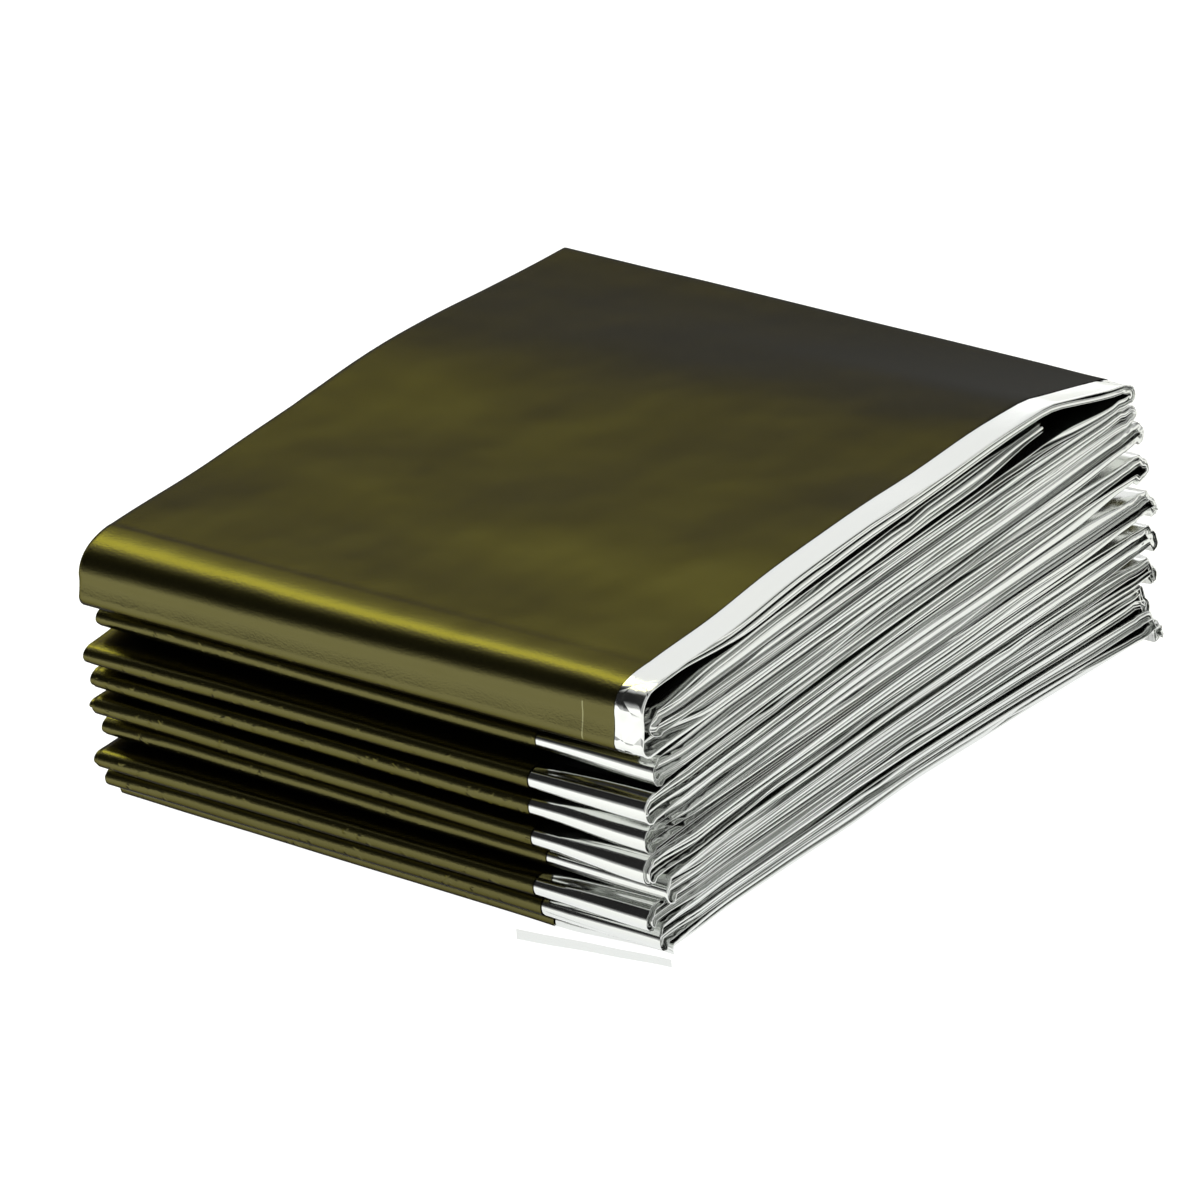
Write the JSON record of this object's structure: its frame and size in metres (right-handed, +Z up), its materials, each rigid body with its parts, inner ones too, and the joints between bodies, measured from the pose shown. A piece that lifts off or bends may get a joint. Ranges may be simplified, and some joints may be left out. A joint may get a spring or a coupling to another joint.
{
  "type": "emergency foil blanket",
  "caption": "Emergency blanket of thin metallised film, olive on one side and silver on the other, fan-folded into a thick square pack.",
  "frame": {"origin": "bottom centre of the folded pack's bounding box", "axes": "+Z up through the stack of panels, +Y along the panels from the near folds to the far folds, +X along the fold lines towards the side with the open silver edges"},
  "size_m": [0.1026, 0.1096, 0.0454],
  "materials": {
    "olive_film": "satin",
    "silver_film": "bright"
  },
  "bodies": {
    "root": {"blanket": "olive_film"}
  },
  "joints": []
}
